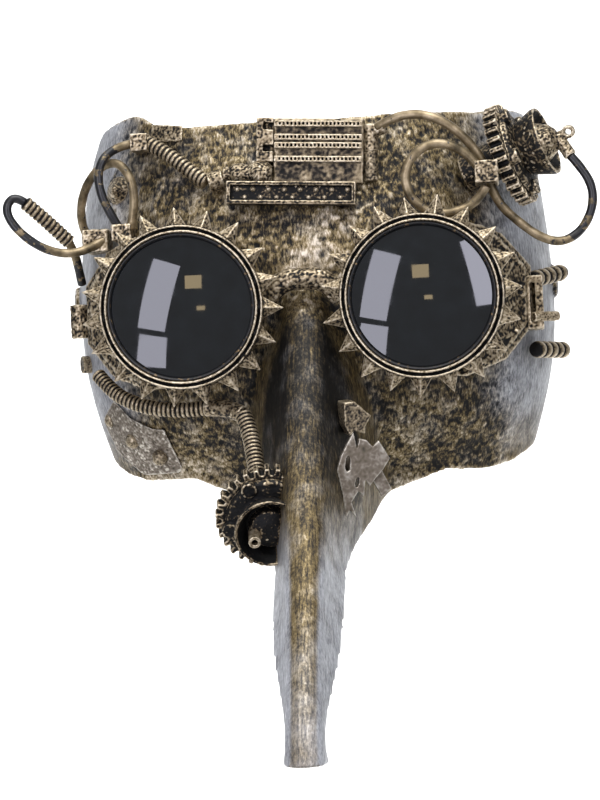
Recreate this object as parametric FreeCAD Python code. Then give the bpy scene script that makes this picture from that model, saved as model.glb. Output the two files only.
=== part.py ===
import FreeCAD
import Part
import math
import os

from FreeCAD import Vector

os.makedirs("parts", exist_ok=True)

# A costume half mask with a long hollow beak, round spiked goggles and dummy pipework.
# Millimetres. +X is the wearer's left, the mask looks along -Y, +Z is up.
# The origin is midway between the two rear rims, level with the lens centres.

# ---- driving dimensions -------------------------------------------------------------
WALL = 2.2                # moulded shell
EYE_X = 41.6              # half the distance between the lens centres
EYE_HOLE_R = 23.0         # hole through shell and goggle housing
LENS_R = 24.5
LENS_EDGE_Y = -95.5       # front edge of the lens rim
LENS_BULGE = 4.0
LENS_THICK = 2.0
GASKET_R = 25.6           # rubber ring round the lens
BEZEL_R = 27.2            # brass-coloured ring round the gasket
BEZEL_BACK_Y = -90.0
SPIKE_COUNT = 19
SPIKE_TIP_R = 36.0
SPIKE_BASE_R = 3.9
STRAP_HOLE_R = 2.5
STRAP_BOSS_R = 5.6
STRAP_BOSS_LENGTH = 3.0
STRAP_BOSS_INNER_X = 87.0
STRAP_HOLE_AT = (-13.0, 6.0)     # Y and Z
TUBE_R = 1.6              # smooth vinyl tube
HOSE_R = 2.7              # ribbed hose
VALVE_GEAR_R = 18.5
VALVE_TEETH = 30
BROW_TILT = 3.2           # degrees: the forehead fitting sits a little askew

# Face: height, half width and depth of each level cut, a rounded box in plan.
FACE_LEVELS = [(84, 77, 57), (66, 81, 63), (46, 84.5, 69), (25, 87, 75), (0, 88.5, 75.5),
               (-22, 87, 73), (-45, 81.5, 66), (-72, 72, 56)]
FACE_SQUARENESS = 2.45

# Beak: height, ridge Y, ridge half width, rear Y, rear half width.
BEAK_LEVELS = [(14, -75.5, 6.5, -62, 15), (-8, -86, 8.2, -60, 23), (-30, -101, 8.0, -56, 27),
               (-55, -118, 7.6, -54, 26), (-68, -127, 7.3, -53, 25),
               (-80, -135, 7.0, -72, 19), (-105, -152.5, 6.3, -128, 12.2),
               (-130, -170.5, 6.1, -158, 8.4), (-150, -181, 6.7, -169.5, 7.7)]
BEAK_HOLLOW_END = -143.0

# Where the shell is divided into touching panels, and the smallest volume that counts as one.
PANEL_X = (-100, -78, -70, -63, -EYE_X, -16, 0, 16, EYE_X, 63, 70, 78, 100)
PANEL_Z = (90, 24, 0, -24, -48, -72, -96, -122, -155)
PANEL_SLIVER = 0.5


# ---- helpers ------------------------------------------------------------------------
def save(node, shape):
    """Write one sub-part and say how many closed solids it holds."""
    solids = shape.Solids
    assert solids and all(s.isClosed() and s.Volume > 0 for s in solids), node
    body = solids[0] if len(solids) == 1 else Part.makeCompound(solids)
    body.exportStep(f"parts/{node}.step")
    print(f"{node:24s} solids {len(solids):3d}  volume {body.Volume:9.1f} mm3  valid {body.isValid()}")


def fused(shapes):
    """One solid from overlapping ones."""
    return shapes[0].multiFuse(shapes[1:]).removeSplitter()


def largest(shape):
    """The biggest solid of a cut, without its slivers."""
    return max(shape.Solids, key=lambda solid: solid.Volume)


def at_axis(shape, point, axis):
    """Stand a shape that was built along +Z from the origin at a point, along an axis."""
    shape.Placement = FreeCAD.Placement(point, FreeCAD.Rotation(Vector(0, 0, 1), axis))
    return shape


def box(low, high):
    """A block between two corners."""
    size = high - low
    return Part.makeBox(size.x, size.y, size.z, low)


def drum(radius, length, point, axis):
    """A round bar that starts at a point and runs along an axis."""
    return Part.makeCylinder(radius, length, point, axis)


def turned(profile):
    """Turn a closed outline of (radius, height) points about +Z."""
    points = [Vector(r, 0, h) for r, h in profile]
    outline = Part.makePolygon(points + points[:1])
    return Part.Face(outline).revolve(Vector(0, 0, 0), Vector(0, 0, 1), 360)


def corner_arc(before, corner, after, reach):
    """The tangent arc that leaves its two runs at a distance from their corner."""
    back = (before - corner).normalize()
    ahead = (after - corner).normalize()
    half_turn = (math.pi - back.getAngle(ahead)) / 2
    radius = reach / math.tan(half_turn)
    inward = (back + ahead).normalize()
    middle = corner + inward * (radius / math.cos(half_turn) - radius)
    return corner + back * reach, middle, corner + ahead * reach, radius


def route(points):
    """Straight runs joined by arcs as large as the shorter run allows."""
    edges = []
    radii = []
    start = points[0]
    for before, corner, after in zip(points, points[1:], points[2:]):
        reach = 0.45 * min((before - corner).Length, (after - corner).Length)
        enter, middle, leave, radius = corner_arc(before, corner, after, reach)
        edges.append(Part.LineSegment(start, enter).toShape())
        edges.append(Part.Arc(enter, middle, leave).toShape())
        radii.append(round(radius, 1))
        start = leave
    edges.append(Part.LineSegment(start, points[-1]).toShape())
    return Part.Wire(edges), radii


def round_tube(name, coordinates, radius):
    """A solid round tube along a route; prints its bend radii and checks its volume."""
    points = [Vector(*c) for c in coordinates]
    wire, radii = route(points)
    ring = Part.Wire(Part.Circle(points[0], points[1] - points[0], radius).toShape())
    tube = wire.makePipeShell([ring], True, False)
    expected = math.pi * radius ** 2 * wire.Length
    print(f"{name}: length {wire.Length:.1f}, radii {radii}, volume ratio {tube.Volume / expected:.3f}")
    return Part.Solid(tube) if tube.ShapeType != "Solid" else tube


def rounded_plate(corners, y_front, y_back):
    """A plate across Y, its outline given as (x, z, corner radius)."""
    points = [Vector(x, y_front, z) for x, z, _ in corners]
    edges = []
    ends = []
    for i, (_, _, radius) in enumerate(corners):
        before, corner, after = points[i - 1], points[i], points[(i + 1) % len(points)]
        if radius == 0:
            ends.append((corner, corner, None))
            continue
        half_turn = (math.pi - (before - corner).getAngle(after - corner)) / 2
        enter, middle, leave, _ = corner_arc(before, corner, after, radius * math.tan(half_turn))
        ends.append((enter, leave, middle))
    for i, (enter, leave, middle) in enumerate(ends):
        if middle is not None:
            edges.append(Part.Arc(enter, middle, leave).toShape())
        edges.append(Part.LineSegment(leave, ends[(i + 1) % len(ends)][0]).toShape())
    return Part.Face(Part.Wire(edges)).extrude(Vector(0, y_back - y_front, 0))


def cog_wheel(radius, root, teeth, thickness, base):
    """A flat toothed wheel about +Z, its teeth slightly tapered and half a pitch wide."""
    points = []
    pitch = 2 * math.pi / teeth
    for i in range(teeth):
        for share, r in ((-0.62, root), (-0.38, radius), (0.38, radius), (0.62, root)):
            angle = (i + share / 2) * pitch
            points.append(Vector(r * math.cos(angle), r * math.sin(angle), base))
    return Part.Face(Part.makePolygon(points + points[:1])).extrude(Vector(0, 0, thickness))


# ---- the moulded shell --------------------------------------------------------------
def face_level(z, half_width, depth, rear):
    """One level cut of the face: a rounded front closed by a straight rear edge."""
    steps = 16
    front = []
    for i in range(steps + 1):
        angle = math.pi * i / steps
        across, ahead = -math.cos(angle), math.sin(angle)
        power = 2 / FACE_SQUARENESS
        x = half_width * math.copysign(abs(across) ** power, across)
        y = -depth * abs(ahead) ** power
        front.append(Vector(x, y, z))
    curve = Part.BSplineCurve()
    curve.interpolate(front)
    left, right = front[0], front[-1]
    rear_left, rear_right = Vector(left.x, rear, z), Vector(right.x, rear, z)
    sides = [Part.LineSegment(right, rear_right), Part.LineSegment(rear_right, rear_left),
             Part.LineSegment(rear_left, left)]
    return Part.Wire([curve.toShape()] + [side.toShape() for side in sides])


def face_body(inset, rear):
    """The face as a filled form, smaller all round by an inset."""
    wires = [face_level(z, width - inset, depth - inset, rear) for z, width, depth in FACE_LEVELS]
    return Part.makeLoft(wires, True, False)


def beak_level(z, ridge_y, ridge, rear_y, rear):
    """One level cut of the beak: a rounded ridge and two flaring sides."""
    shoulder = ridge_y + 0.8 * ridge
    arc = Part.Arc(Vector(-ridge, shoulder, z), Vector(0, ridge_y, z), Vector(ridge, shoulder, z))
    left, right = Vector(-rear, rear_y, z), Vector(rear, rear_y, z)
    return Part.Wire([Part.LineSegment(left, Vector(-ridge, shoulder, z)).toShape(), arc.toShape(),
                      Part.LineSegment(Vector(ridge, shoulder, z), right).toShape(),
                      Part.LineSegment(right, left).toShape()])


def beak_body():
    """The beak as a filled form."""
    return Part.makeLoft([beak_level(*level) for level in BEAK_LEVELS], True, False)


def beak_hollow():
    """The space inside the beak, open along its back."""
    behind = 20.0
    slant = 1.25
    wires = []
    for z, ridge_y, ridge, rear_y, rear in BEAK_LEVELS[:-1] + [(BEAK_HOLLOW_END, -176.5, 5.6, -166, 7)]:
        spread = (rear - ridge) / (rear_y - ridge_y) * behind
        wires.append(beak_level(z, ridge_y + slant * WALL, ridge - WALL, rear_y + behind,
                                rear - WALL + spread))
    return Part.makeLoft(wires, True, False)


def strap_place(side):
    """Where a strap hole's boss starts, inside the temple."""
    y, z = STRAP_HOLE_AT
    return Vector(side * STRAP_BOSS_INNER_X, y, z), Vector(side, 0, 0)


face_filled = face_body(0, 5)
beak_filled = beak_body()
skin = fused([face_filled, beak_filled])
front_outline = rounded_plate(
    [(-50, 65.5, 0), (-60, 72.5, 8), (-75, 68, 8), (-93, 25, 0), (-92, -22, 0), (-80, -62, 30),
     (-45, -60.5, 6), (-21, -70, 14), (-18, -170, 0), (18, -170, 0), (21, -70, 14),
     (46, -61, 6), (80.5, -62.5, 30), (92, -22, 0), (96, 40, 0), (85, 69, 12), (60, 66.8, 0),
     (40, 67, 0), (15, 65.5, 0)],
    -200, 0)
shell = skin.cut(face_body(WALL, 6)).cut(beak_hollow()).common(front_outline)
for side in (-1, 1):
    place, outward = strap_place(side)
    shell = shell.fuse(drum(STRAP_BOSS_R, STRAP_BOSS_LENGTH, place, outward))
for side in (-1, 1):
    place, outward = strap_place(side)
    shell = shell.cut(drum(STRAP_HOLE_R, STRAP_BOSS_LENGTH + 6, place - outward * 3, outward))
    shell = shell.cut(drum(EYE_HOLE_R, 60, Vector(side * EYE_X, -100, 0), Vector(0, 1, 0)))


def panels(moulding):
    """The one moulding as panels that touch, so that each is nearly flat for collision."""
    pieces = []
    ahead, behind = moulding.BoundBox.YMin - 1, moulding.BoundBox.YMax + 1
    for left, right in zip(PANEL_X, PANEL_X[1:]):
        column = moulding.common(box(Vector(left, ahead, PANEL_Z[-1]), Vector(right, behind, PANEL_Z[0])))
        for top, bottom in zip(PANEL_Z, PANEL_Z[1:]):
            panel = column.common(box(Vector(left, ahead, bottom), Vector(right, behind, top)))
            pieces += [solid for solid in panel.Solids if solid.Volume > PANEL_SLIVER]
    return Part.makeCompound(pieces)


save("mask_shell", panels(shell))


def face_y(x, z):
    """Where the face's outer surface lies at a place seen from the front."""
    pairs = list(zip(FACE_LEVELS, FACE_LEVELS[1:]))
    upper, lower = next((a, b) for a, b in pairs if a[0] >= z >= b[0])
    share = (upper[0] - z) / (upper[0] - lower[0])
    width = upper[1] + share * (lower[1] - upper[1])
    depth = upper[2] + share * (lower[2] - upper[2])
    return -depth * (1 - (abs(x) / width) ** FACE_SQUARENESS) ** (1 / FACE_SQUARENESS)


# ---- goggles ------------------------------------------------------------------------
# The side shield's outline, outwards and upwards from the lens centre.
SHIELD_OUTLINE = [(0, 27), (14, 26), (28, 21.5), (38, 10), (38, -10.5), (28, -22.5), (14, -28), (0, -27)]
FORWARD = Vector(0, -1, 0)


def goggle_housing(side):
    """The barrel behind a lens with the sloping shield on its outer side."""
    barrel = at_axis(Part.makeCone(29.5, 26.5, 35), Vector(side * EYE_X, BEZEL_BACK_Y + 35, 0), FORWARD)
    outline = [(side * (EYE_X + x), z, 0) for x, z in SHIELD_OUTLINE]
    plate = rounded_plate(outline, BEZEL_BACK_Y, -40)
    slope = [(0, -88.5), (14, -88.5), (39, -58), (39, -40), (0, -40)]
    points = [Vector(side * (EYE_X + x), y, -40) for x, y in slope]
    wedge = Part.Face(Part.makePolygon(points + points[:1])).extrude(Vector(0, 0, 80))
    eye_hole = drum(EYE_HOLE_R, 60, Vector(side * EYE_X, -100, 0), Vector(0, 1, 0))
    return fused([barrel, plate.common(wedge)]).cut(skin).cut(eye_hole)


def goggle_bezel(side, first_angle):
    """The lens ring with its crown of spikes."""
    back = GASKET_R
    ring = turned([(back, 0), (28.0, 0), (28.0, 5.0), (BEZEL_R, 5.8), (BEZEL_R, 7.4), (26.6, 8.0),
                   (26.1, 8.0), (back, 7.4)])
    spikes = []
    for i in range(SPIKE_COUNT):
        angle = math.radians(first_angle + i * 360 / SPIKE_COUNT)
        outward = Vector(math.cos(angle), math.sin(angle), 0)
        start = outward * (back + 0.9) + Vector(0, 0, 4)
        spikes.append(Part.makeCone(SPIKE_BASE_R, 0.3, SPIKE_TIP_R - back - 0.9, start, outward))
    return at_axis(fused([ring] + spikes), Vector(side * EYE_X, BEZEL_BACK_Y, 0), FORWARD)


def goggle_gasket(side):
    """The black ring that holds a lens."""
    ring = turned([(LENS_R, 0.5), (GASKET_R, 0.5), (GASKET_R, 7.0), (LENS_R, 6.4)])
    return at_axis(ring, Vector(side * EYE_X, BEZEL_BACK_Y, 0), FORWARD)


def goggle_lens(side):
    """A domed disc of even thickness."""
    ball = (LENS_R ** 2 + LENS_BULGE ** 2) / (2 * LENS_BULGE)
    rim = BEZEL_BACK_Y - LENS_EDGE_Y
    half = LENS_R / 2
    drop = ball - math.sqrt(ball ** 2 - half ** 2)
    crown = rim + LENS_BULGE
    inner_rim, inner_crown = rim - LENS_THICK, crown - LENS_THICK
    outer = Part.Arc(Vector(LENS_R, 0, rim), Vector(half, 0, crown - drop), Vector(0, 0, crown))
    inner = Part.Arc(Vector(0, 0, inner_crown), Vector(half, 0, inner_crown - drop),
                     Vector(LENS_R, 0, inner_rim))
    edge = Part.LineSegment(Vector(LENS_R, 0, inner_rim), Vector(LENS_R, 0, rim))
    axis = Part.LineSegment(Vector(0, 0, crown), Vector(0, 0, inner_crown))
    profile = Part.Wire([part.toShape() for part in (outer, axis, inner, edge)])
    disc = Part.Face(profile).revolve(Vector(0, 0, 0), Vector(0, 0, 1), 360)
    return at_axis(disc, Vector(side * EYE_X, BEZEL_BACK_Y, 0), FORWARD)


housings = {}
for side, name, first_angle in ((-1, "right_eye", -2.6), (1, "left_eye", 2.4)):
    housings[side] = goggle_housing(side)
    save(f"{name}_housing", housings[side])
    save(f"{name}_bezel", goggle_bezel(side, first_angle))
    save(f"{name}_gasket", goggle_gasket(side))
    save(f"{name}_lens", goggle_lens(side))

bridge = round_tube("bridge", [(-13, -83, 1.5), (-7, -85, 8.2), (7, -85, 8.2), (13, -83, 1.5)], 3.8)
save("goggle_bridge", bridge.cut(skin).cut(housings[-1]).cut(housings[1]))


# ---- forehead fitting ---------------------------------------------------------------
RAIL_FRONT_Y = -76.2
RAIL_BACK_Y = -73.6
RAIL_X = (-8.7, 22.2)
RAIL_HEIGHTS = (63.1, 58.4, 55.5, 50.7)
RAIL_HALF = 1.05
RAIL_HOLES = 21
TRAY_LOW = Vector(-24.9, -81.5, 34.5)
TRAY_HIGH = Vector(20.4, -62, 42.4)
TRAY_RIM = 1.3
TRAY_DEPTH = 2.6


def askew(shape):
    """Turn a forehead piece by the small angle that the whole fitting sits at."""
    shape.rotate(Vector(0, -72, 50), Vector(0, 1, 0), BROW_TILT)
    return shape


def perforated_rail(height):
    """A flat bar with a row of small square pockets."""
    bar = box(Vector(RAIL_X[0], RAIL_FRONT_Y, height - RAIL_HALF),
              Vector(RAIL_X[1], RAIL_BACK_Y, height + RAIL_HALF))
    pitch = (RAIL_X[1] - RAIL_X[0] - 2) / RAIL_HOLES
    pockets = []
    for i in range(RAIL_HOLES):
        x = RAIL_X[0] + 1.6 + i * pitch
        pockets.append(box(Vector(x, RAIL_FRONT_Y - 1, height - 0.55),
                           Vector(x + 0.75, RAIL_FRONT_Y + 1.2, height + 0.55)))
    return bar.cut(Part.makeCompound(pockets))


block = askew(box(Vector(-9, RAIL_BACK_Y, 42.4), Vector(22.6, -55, 65.2)))
tray = box(TRAY_LOW, TRAY_HIGH)
recess_low = TRAY_LOW + Vector(TRAY_RIM, -1, TRAY_RIM)
recess_high = Vector(TRAY_HIGH.x - TRAY_RIM, TRAY_LOW.y + TRAY_DEPTH, TRAY_HIGH.z - TRAY_RIM)
tray = askew(tray.cut(box(recess_low, recess_high))).cut(skin)
clamp = box(Vector(-15, -75.6, 49.8), Vector(-9, -58, 65.2))
for low, high in ((61.0, 63.5), (53.4, 55.7)):
    clamp = clamp.cut(box(Vector(-12.8, -77, low), Vector(-8, -72, high)))
clamp = askew(clamp).cut(skin)
block = block.cut(skin)
save("brow_block", block)
save("brow_rails", askew(Part.makeCompound([perforated_rail(height) for height in RAIL_HEIGHTS])))
save("rail_clamp", clamp)
save("stud_tray", tray)

studs = []
for first, pitch, count, height, radius in ((-21.3, 5.55, 8, 39.8, 1.05), (-18.6, 5.6, 7, 37.0, 0.85)):
    for i in range(count):
        place = Vector(first + i * pitch, TRAY_LOW.y + TRAY_DEPTH, height)
        studs.append(Part.makeSphere(radius, place, FORWARD, 0, 90, 360))
save("tray_studs", askew(Part.makeCompound(studs)))

pump = at_axis(turned([(0, 0), (2.3, 0), (2.3, 2.6), (3.4, 4), (3.7, 6.3), (3.2, 8.4), (3.2, 9.2), (4.2, 11),
                       (4.7, 13.2), (4.3, 15.6), (2.8, 17.4), (0, 17.4)]),
               Vector(-27, -74, 46.9), Vector(1, 0, -math.tan(math.radians(BROW_TILT))))
pump = largest(pump.cut(skin).cut(block).cut(clamp).cut(tray))
save("pump_body", pump)
coupling = fused([drum(3.5, 5.2, Vector(-32.2, -72.5, 44.2), Vector(1, 0, 0.25)),
                  box(Vector(-30.5, -73, 41), Vector(-27.5, -66, 46.5))])
save("hose_coupling", coupling.cut(skin).cut(pump).cut(tray))
tap = fused([drum(2.6, 9.5, Vector(25.4, -70.5, 52.5), Vector(0, 0, 1)),
             drum(2.2, 6, Vector(25.4, -70.5, 59), Vector(0.8, -0.35, 0.25)),
             box(Vector(22.8, -70.5, 53), Vector(27.6, -60, 61))])
tap = tap.cut(skin).cut(block)
side_pipe = drum(2.4, 10.3, Vector(25.2, -71.2, 42.0), Vector(0, 0, 1))
save("brow_side_pipe", fused([side_pipe, box(Vector(23, -71, 44), Vector(27, -62, 48))]).cut(skin).cut(block))


# ---- valve wheels -------------------------------------------------------------------
def valve(point, axis, clear_of):
    """The pieces of a dummy valve, stacked along its axis from the middle of its wheel."""
    half = 2.5
    post = Part.makeCylinder(7, 15, Vector(0, 0, -half - 15))
    wheel = cog_wheel(VALVE_GEAR_R, VALVE_GEAR_R - 2.2, VALVE_TEETH, 2 * half, -half)
    lugs = [turned([(0, half), (15.2, half), (14.2, half + 1.8), (9.0, half + 2.6), (0, half + 2.6)])]
    for i in range(5):
        angle = i * 2 * math.pi / 5 + 0.9
        lugs.append(Part.makeCylinder(2.6, 3.4, Vector(14.0 * math.cos(angle), 14.0 * math.sin(angle), half)))
    seat = half + 2.6
    cup = turned([(0, seat), (9.4, seat), (12.2, seat + 7.4), (12.2, seat + 9.0), (11.3, seat + 9.0),
                  (10.7, seat + 7.4), (8.3, seat + 2.0), (0, seat + 2.0)])
    pieces = {"post": post, "wheel": wheel, "flange": fused(lugs), "cup": cup}
    placed = {}
    for name, shape in pieces.items():
        shape = at_axis(shape, point, axis)
        placed[name] = largest(shape.cut(clear_of))
    return placed, seat + 2.0


UPPER_VALVE = Vector(74.3, -64, 49.2)
UPPER_AXIS = Vector(0.92, -0.25, 0.30).normalize()
upper, dome_seat = valve(UPPER_VALVE, UPPER_AXIS, skin)
for name, shape in upper.items():
    save(f"upper_valve_{name}", shape)
dome = turned([(0, dome_seat), (7.6, dome_seat), (7.2, dome_seat + 5), (5.0, dome_seat + 9.2),
               (2.8, dome_seat + 11), (0, dome_seat + 11)])
save("upper_valve_dome", at_axis(dome, UPPER_VALVE, UPPER_AXIS))
dome_top = UPPER_VALVE + UPPER_AXIS * (dome_seat + 11)
eyelet = drum(2.3, 2.6, Vector(0, 1.3, 4.2), FORWARD).cut(drum(1.1, 4, Vector(0, 2, 4.2), FORWARD))
eyelet = at_axis(fused([Part.makeCylinder(1.5, 2.4), eyelet]), dome_top, UPPER_AXIS)
save("upper_valve_eyelet", eyelet)

LOWER_VALVE = Vector(-13.2, -108, -72.6)
LOWER_AXIS = Vector(0.08, -0.90, -0.42).normalize()
lower, dish_seat = valve(LOWER_VALVE, LOWER_AXIS, skin)
for name, shape in lower.items():
    save(f"lower_valve_{name}", shape)
boss = turned([(0, dish_seat), (7.4, dish_seat), (6.6, dish_seat + 3.4), (3.0, dish_seat + 5.0),
               (0, dish_seat + 5.0)])
boss = at_axis(boss, LOWER_VALVE, LOWER_AXIS).cut(skin)
nozzle_root = LOWER_VALVE + LOWER_AXIS * (dish_seat + 1.5) + Vector(-5.5, 0, -1.5)
nozzle = drum(2.1, 8, nozzle_root, LOWER_AXIS)
bore = drum(1.1, 5, nozzle_root + LOWER_AXIS * 4, LOWER_AXIS)
save("lower_valve_boss", boss.cut(nozzle))
save("lower_valve_nozzle", nozzle.cut(bore).cut(lower["cup"]))


# ---- tubes and hoses ----------------------------------------------------------------
# Stiff vinyl tubes held at both ends; each route is hand laid in millimetres.
TEMPLE_INNER_ROUTE = [(-58.8, -62.5, 60.4), (-64.5, -67, 59.2), (-69.6, -72.5, 54.8), (-71.6, -73.5, 48.6),
                      (-70.6, -74, 41.8), (-67.9, -73, 35.2), (-64.9, -71, 29.6)]
TEMPLE_OUTER_ROUTE = [(-61.0, -71, 29.4), (-59.4, -72, 35.4), (-58.9, -73, 42.2), (-60.6, -73, 48.8),
                      (-64.6, -71, 53.2), (-70.2, -67, 52.8), (-75.6, -63.5, 48.6), (-79.4, -58.5, 42.6),
                      (-81.0, -54, 36.0), (-80.3, -50.5, 29.8), (-77.6, -48, 25.4)]
SIDE_LOOP_ROUTE = [(-71.0, -63, 26.8), (-76.6, -65, 23.4), (-83.8, -67, 21.6), (-91.2, -69, 23.2),
                   (-97.6, -70.5, 27.2), (-102.4, -71.5, 32.2), (-104.8, -72, 36.8), (-104.4, -71.8, 40.6),
                   (-101.6, -71.2, 42.8), (-98.4, -70.3, 40.6)]
SIDE_HOSE_ROUTE = [(-98.4, -70.3, 40.6), (-94.2, -68, 36.6), (-89.2, -64.5, 31.4), (-84.8, -61, 26.6)]
SIDE_TAIL_ROUTE = [(-84.8, -61, 26.6), (-82.9, -58.5, 21.8), (-82.3, -55.5, 16.6), (-81.8, -52.5, 11.4)]
BROW_HOSE_ROUTE = [(-55.2, -61.5, 60.4), (-51.0, -64, 58.2), (-44.6, -67, 53.6), (-38.6, -70, 48.4),
                   (-33.4, -72.3, 44.6)]
LONG_TUBE_ROUTE = [(27.8, -72.6, 60.6), (33.0, -75, 63.2), (39.6, -77, 64.4), (46.4, -78, 63.4),
                   (53.0, -78, 60.0), (58.6, -77, 55.0), (62.8, -75.5, 49.6), (65.8, -74, 43.4),
                   (67.2, -73, 36.6), (70.6, -72.3, 30.2), (76.6, -71.6, 24.6), (83.2, -71, 19.4),
                   (90.4, -70.5, 17.0), (97.2, -70, 20.2), (101.6, -70, 27.0), (102.7, -70, 34.6),
                   (100.0, -70, 41.6), (95.2, -70, 47.4)]
RING_TUBE_ROUTE = [(65.0, -79.5, 40.6), (62.0, -80, 46.0), (56.8, -80.5, 50.8), (50.2, -81, 53.6),
                   (43.4, -81, 52.2), (38.6, -81, 47.4), (36.9, -81, 41.0), (38.9, -80.5, 34.6),
                   (44.0, -80, 30.0), (51.0, -79.5, 28.6), (58.0, -79, 30.2), (62.8, -78.5, 33.6),
                   (65.2, -78.5, 37.6)]
UNDER_EYE_ROUTE = [(-76.5, -60, -21.5), (-71.4, -65, -27.4), (-64.8, -69.5, -31.6), (-57.2, -72.5, -34.2),
                   (-49.4, -74.5, -35.4), (-41.8, -76, -35.6), (-36.2, -77, -35.2)]
ELBOW_ROUTE = [(-36.2, -77, -35.2), (-31.8, -79, -35.4), (-27.0, -81.5, -36.2), (-22.8, -84.4, -38.0)]
DROP_HOSE_ROUTE = [(-22.8, -84.4, -38.0), (-20.6, -88.0, -43.2), (-19.2, -92.4, -49.6),
                   (-18.0, -97.0, -56.0), (-17.0, -101.6, -62.4)]

tubes = {
    "temple_inner_tube": round_tube("temple_inner_tube", TEMPLE_INNER_ROUTE, TUBE_R),
    "temple_outer_tube": round_tube("temple_outer_tube", TEMPLE_OUTER_ROUTE, TUBE_R),
    "side_loop_tube": round_tube("side_loop_tube", SIDE_LOOP_ROUTE, TUBE_R),
    "side_loop_hose": round_tube("side_loop_hose", SIDE_HOSE_ROUTE, HOSE_R),
    "side_tail_tube": round_tube("side_tail_tube", SIDE_TAIL_ROUTE, TUBE_R),
    "brow_hose": round_tube("brow_hose", BROW_HOSE_ROUTE, HOSE_R),
    "long_tube": round_tube("long_tube", LONG_TUBE_ROUTE, TUBE_R),
    "ring_tube": round_tube("ring_tube", RING_TUBE_ROUTE, TUBE_R),
    "under_eye_hose": round_tube("under_eye_hose", UNDER_EYE_ROUTE, HOSE_R),
    "hose_elbow": round_tube("hose_elbow", ELBOW_ROUTE, 3.0),
    "drop_hose": round_tube("drop_hose", DROP_HOSE_ROUTE, 3.1),
}
tubes["brow_hose"] = largest(tubes["brow_hose"].cut(coupling))
tubes["hose_elbow"] = largest(tubes["hose_elbow"].cut(tubes["under_eye_hose"]))
tubes["drop_hose"] = largest(tubes["drop_hose"].cut(tubes["hose_elbow"]))
for name in ("side_loop_tube", "side_tail_tube"):
    tubes[name] = largest(tubes[name].cut(tubes["side_loop_hose"]))
tubes["drop_hose"] = largest(tubes["drop_hose"].cut(lower["post"]))
for name, tube in tubes.items():
    save(name, tube)
save("brow_tap", largest(tap.cut(tubes["long_tube"])))


def pad(low, high, *clear_of):
    """A cast block trimmed to the pieces it sits on."""
    shape = box(Vector(*low), Vector(*high))
    for other in clear_of:
        shape = shape.cut(other)
    return largest(shape)


all_tubes = Part.makeCompound(list(tubes.values()))
save("tube_clip", pad((61.6, -83.5, 38.8), (69.6, -58, 46.4), skin, all_tubes, upper["wheel"], upper["post"]))
save("temple_socket", pad((-67.5, -74.5, 25.4), (-60.6, -56, 31.0), skin, housings[-1], all_tubes))
save("temple_ferrule", pad((-60.4, -66.5, 57.4), (-54.4, -50, 63.4), skin, all_tubes))
save("side_socket", pad((-79.4, -65, 22.3), (-70.0, -42, 30.2), skin, housings[-1], all_tubes))
nipple = drum(2.2, (Vector(95.2, -70, 47.4) - dome_top).Length, dome_top,
              Vector(95.2, -70, 47.4) - dome_top)
nipple = nipple.cut(tubes["long_tube"]).cut(eyelet)
save("upper_valve_nipple", largest(nipple.cut(at_axis(dome.copy(), UPPER_VALVE, UPPER_AXIS))))


# ---- side fittings ------------------------------------------------------------------
def stub_hose(start, end, count):
    """A short ribbed hose: a core with discs on it."""
    direction = end - start
    pitch = direction.Length / count
    direction.normalize()
    discs = [drum(2.3, pitch * count, start, direction)]
    for i in range(count):
        discs.append(drum(3.1, 2.2, start + direction * (pitch * (i + 0.5)), direction))
    return fused(discs)


upper_stub = stub_hose(Vector(80.5, -48, 5.6), Vector(91.4, -27, 8.4), 5)
lower_stub = stub_hose(Vector(80.0, -49, -19.6), Vector(91.0, -26, -20.0), 5)
save("upper_stub_hose", largest(upper_stub.cut(skin).cut(housings[1])))
save("lower_stub_hose", largest(lower_stub.cut(skin).cut(housings[1])))
strap_bar = box(Vector(77.5, -61.5, -12.5), Vector(83.5, -38, 6.5))
strap_bar = strap_bar.cut(box(Vector(78.9, -63, -10), Vector(80.8, -55, 4)))
strap_bar = largest(strap_bar.cut(skin).cut(housings[1]).cut(upper_stub))
PRONG_ROOT = Vector(79.8, -63, -8.2)
PRONG_AXIS = Vector(1, 0.55, 0).normalize()
prong = drum(1.7, 10, PRONG_ROOT, PRONG_AXIS).cut(drum(0.9, 4, PRONG_ROOT + PRONG_AXIS * 7, PRONG_AXIS))
save("strap_bar", strap_bar)
save("strap_prong", largest(prong.cut(strap_bar).cut(housings[1])))
barrel = fused([drum(3.4, 12, Vector(-83.4, -50, -8), Vector(0, 0, 1)),
                box(Vector(-86, -50, -5), Vector(-75, -38, 2))])
save("hinge_barrel", largest(barrel.cut(skin).cut(housings[-1])))


# ---- plates on the face -------------------------------------------------------------
def face_plate(corners, thickness):
    """A thin plate that follows the face, its outline seen from the front."""
    outline = rounded_plate(corners, -95, -20)
    return largest(face_body(-thickness, 5).common(outline).cut(skin))


PLATE_THICK = 1.2
RIVET_R = 3.0
CHEEK_OUTLINE = [(-73.0, -31.0, 0), (-66.6, -37.9, 0), (-58.5, -41.8, 0), (-53.9, -42.4, 0),
                 (-48.0, -58.0, 2), (-64.0, -58.8, 4), (-74.0, -50.0, 4), (-79.0, -38.0, 2)]
cheek_plate = face_plate(CHEEK_OUTLINE, PLATE_THICK)
save("cheek_plate", cheek_plate)
rivets = []
for x, z in ((-74.8, -38.0), (-66.6, -45.8), (-56.6, -52.3)):
    rivets.append(Part.makeSphere(RIVET_R, Vector(x, face_y(x, z) - 0.6, z)).cut(cheek_plate).cut(skin))
rivets.append(drum(3.2, 5, Vector(-81.5, -30, -17.3), Vector(-1, -0.4, 0)).cut(skin))
save("face_rivets", Part.makeCompound([largest(rivet) for rivet in rivets]))
brow_plate = face_plate([(-54.5, 61.0, 1), (-53.5, 67.5, 1), (-42.0, 66.0, 1), (-42.5, 60.5, 1)], 1.5)
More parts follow.
